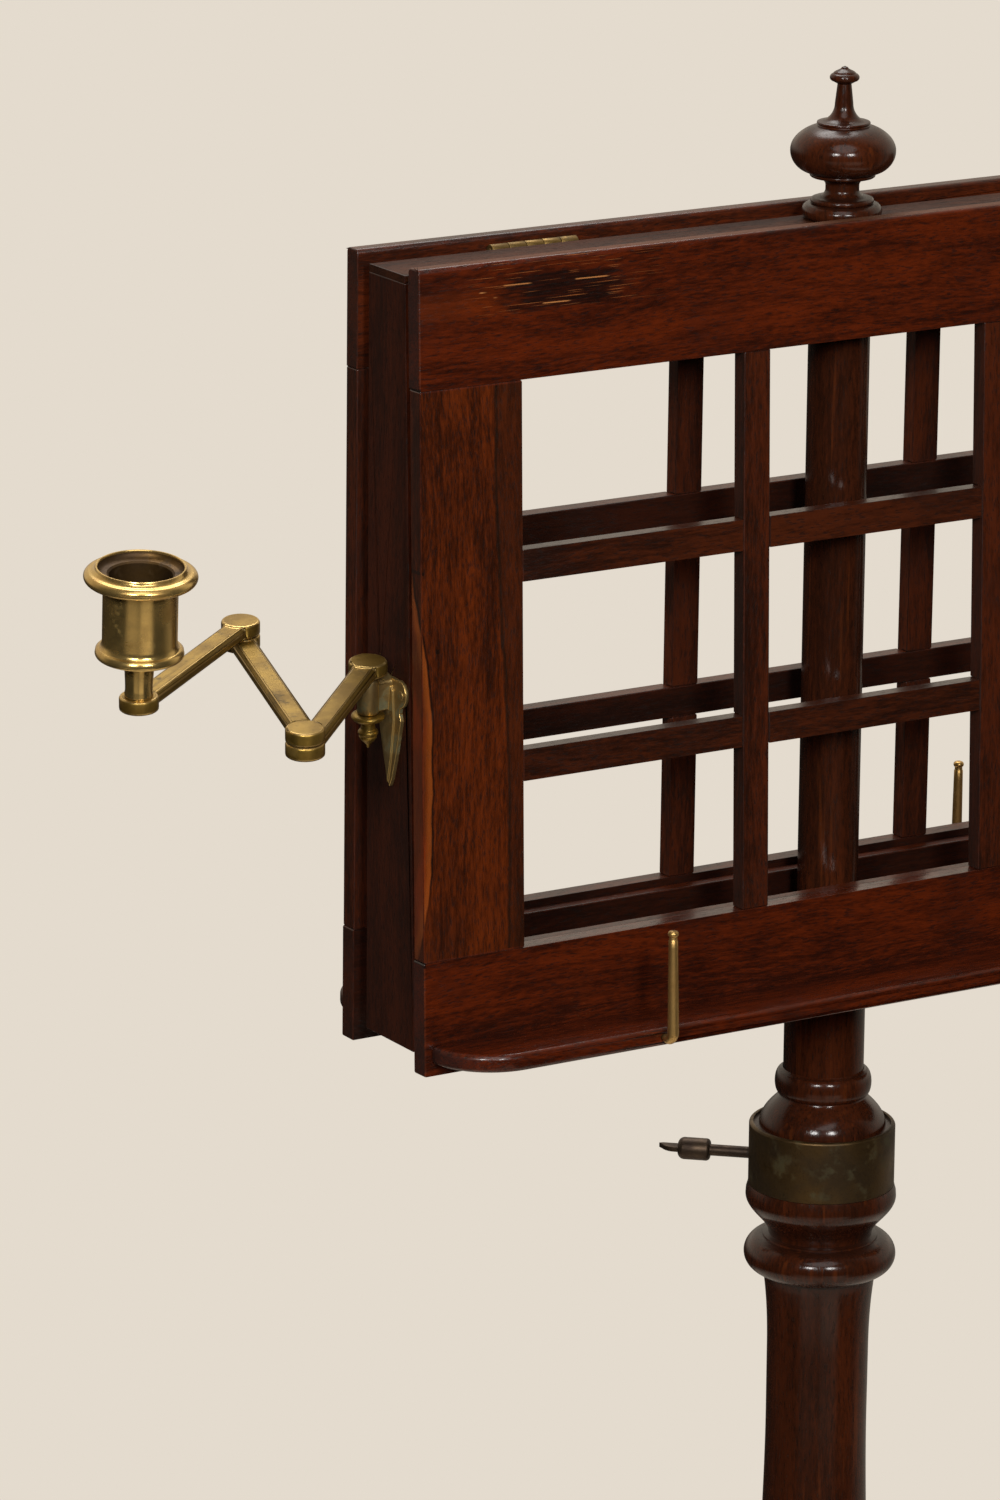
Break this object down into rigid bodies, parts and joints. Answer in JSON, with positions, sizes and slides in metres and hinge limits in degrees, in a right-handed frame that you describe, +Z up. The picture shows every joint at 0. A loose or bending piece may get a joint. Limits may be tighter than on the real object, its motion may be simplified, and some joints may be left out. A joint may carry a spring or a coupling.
{
  "type": "duet music stand",
  "caption": "Wooden duet music stand: lattice slopes hinged back to back on a frame, sliding turned pole, tripod base, jointed brass candle arms.",
  "frame": {"origin": "on the floor below the pole's axis, with the foot pads on z = 0", "axes": "+X along the slopes from the left candle arm to the right one as seen from the front, +Y from the front slope to the back slope, +Z up"},
  "size_m": [0.882, 0.4996, 1.2362],
  "materials": {
    "dark_wood": "polished dark mahogany",
    "rail_wood": "french-polished mahogany",
    "board_wood": "french-polished mahogany",
    "brass": "aged polished brass",
    "pale_brass": "worn yellow brass",
    "bronze": "dark olive bronze",
    "iron": "dark browned iron"
  },
  "bodies": {
    "base": {"column": "dark_wood", "leg_1": "board_wood", "leg_2": "board_wood", "leg_3": "board_wood", "foot_pads": "board_wood", "base_plate": "iron", "base_drop": "dark_wood", "collar": "bronze"},
    "thumb_screw": {"thumb_screw": "iron"},
    "pole": {"pole": "dark_wood"},
    "desk": {"end_board_left": "board_wood", "end_board_right": "board_wood", "top_board": "board_wood", "bottom_board": "board_wood", "finial": "dark_wood", "racks": "rail_wood", "frame_hinge_leaves": "pale_brass", "hinge_pins": "pale_brass", "frame_screws": "brass", "bracket_left": "brass", "bracket_right": "brass"},
    "front_slope": {"front_top_rail": "rail_wood", "front_bottom_rail": "rail_wood", "front_stile_left": "board_wood", "front_stile_right": "board_wood", "front_upright_bars": "board_wood", "front_level_bars": "rail_wood", "front_ledge": "rail_wood", "front_hinge_leaves": "pale_brass", "front_stay_plates": "brass", "front_slope_screws": "brass"},
    "back_slope": {"back_top_rail": "rail_wood", "back_bottom_rail": "rail_wood", "back_stile_left": "board_wood", "back_stile_right": "board_wood", "back_upright_bars": "board_wood", "back_level_bars": "rail_wood", "back_ledge": "rail_wood", "back_hinge_leaves": "pale_brass", "back_stay_plates": "brass", "back_slope_screws": "brass"},
    "front_stay": {"front_stay_arms": "board_wood", "front_stay_bar": "rail_wood"},
    "back_stay": {"back_stay_arms": "board_wood", "back_stay_bar": "rail_wood"},
    "front_pin_left": {"front_pin_left": "pale_brass"},
    "front_pin_right": {"front_pin_right": "pale_brass"},
    "back_pin_left": {"back_pin_left": "pale_brass"},
    "back_pin_right": {"back_pin_right": "pale_brass"},
    "left_inner": {"arm_inner_left": "brass", "arm_drop_left": "brass"},
    "left_middle": {"arm_middle_left": "brass"},
    "left_outer": {"arm_outer_left": "brass", "candle_socket_left": "brass"},
    "right_inner": {"arm_inner_right": "brass", "arm_drop_right": "brass"},
    "right_middle": {"arm_middle_right": "brass"},
    "right_outer": {"arm_outer_right": "brass", "candle_socket_right": "brass"}
  },
  "joints": [
    {"name": "thumb_screw_turn", "type": "hinge", "parent": "base", "child": "thumb_screw", "pos_m": [0, 0, 0.667], "axis": [-0.7431, 0.6691, 0], "continuous": true},
    {"name": "pole_slide", "type": "slide", "parent": "base", "child": "pole", "axis": [0, 0, 1], "range_m": [-0.04, 0.28]},
    {"name": "desk_turn", "type": "hinge", "parent": "pole", "child": "desk", "pos_m": [0, 0, 0.7735], "axis": [0, 0, 1], "continuous": true},
    {"name": "front_slope_hinge", "type": "hinge", "parent": "desk", "child": "front_slope", "pos_m": [0, -0.0205, 1.158], "axis": [-1, 0, 0], "range_deg": [0, 30]},
    {"name": "back_slope_hinge", "type": "hinge", "parent": "desk", "child": "back_slope", "pos_m": [0, 0.0205, 1.158], "axis": [1, 0, 0], "range_deg": [0, 30]},
    {"name": "front_stay_hinge", "type": "hinge", "parent": "front_slope", "child": "front_stay", "pos_m": [0, -0.0253, 0.95806], "axis": [1, 0, 0], "range_deg": [0, 76]},
    {"name": "back_stay_hinge", "type": "hinge", "parent": "back_slope", "child": "back_stay", "pos_m": [0, 0.02142, 0.958], "axis": [-1, 0, 0], "range_deg": [0, 71]},
    {"name": "front_pin_left_turn", "type": "hinge", "parent": "front_slope", "child": "front_pin_left", "pos_m": [-0.1475, -0.08523, 0.77713], "axis": [0, 0.9997, -0.0255], "range_deg": [-90, 90]},
    {"name": "front_pin_right_turn", "type": "hinge", "parent": "front_slope", "child": "front_pin_right", "pos_m": [0.1475, -0.08523, 0.77713], "axis": [0, 0.9997, -0.0255], "range_deg": [-90, 90]},
    {"name": "back_pin_left_turn", "type": "hinge", "parent": "back_slope", "child": "back_pin_left", "pos_m": [-0.1475, 0.07781, 0.77954], "axis": [0, -1, -0.0061], "range_deg": [-90, 90]},
    {"name": "back_pin_right_turn", "type": "hinge", "parent": "back_slope", "child": "back_pin_right", "pos_m": [0.1348, 0.07781, 0.77954], "axis": [0, -1, -0.0061], "range_deg": [-90, 90]},
    {"name": "left_inner_pivot", "type": "hinge", "parent": "desk", "child": "left_inner", "pos_m": [-0.27631, -0.007, 0.95988], "axis": [-0.0693, -0.1097, 0.9915], "range_deg": [-30, 40]},
    {"name": "left_middle_pivot", "type": "hinge", "parent": "left_inner", "child": "left_middle", "pos_m": [-0.35317, -0.07988, 0.95653], "axis": [-0.0693, -0.1097, 0.9915], "range_deg": [-8, 60]},
    {"name": "left_outer_pivot", "type": "hinge", "parent": "left_middle", "child": "left_outer", "pos_m": [-0.32266, 0.03635, 0.97879], "axis": [-0.0693, -0.1097, 0.9915], "range_deg": [-60, 30]},
    {"name": "right_inner_pivot", "type": "hinge", "parent": "desk", "child": "right_inner", "pos_m": [0.27631, -0.007, 0.95988], "axis": [0.0693, -0.1097, 0.9915], "range_deg": [-40, 30]},
    {"name": "right_middle_pivot", "type": "hinge", "parent": "right_inner", "child": "right_middle", "pos_m": [0.35317, -0.07988, 0.95653], "axis": [0.0693, -0.1097, 0.9915], "range_deg": [-60, 8]},
    {"name": "right_outer_pivot", "type": "hinge", "parent": "right_middle", "child": "right_outer", "pos_m": [0.32266, 0.03635, 0.97879], "axis": [0.0693, -0.1097, 0.9915], "range_deg": [-30, 60]}
  ],
  "couplings": [
    {"joint": "front_stay_hinge", "follows": "front_slope_hinge", "ratio": 2.53},
    {"joint": "back_stay_hinge", "follows": "back_slope_hinge", "ratio": 2.36}
  ]
}
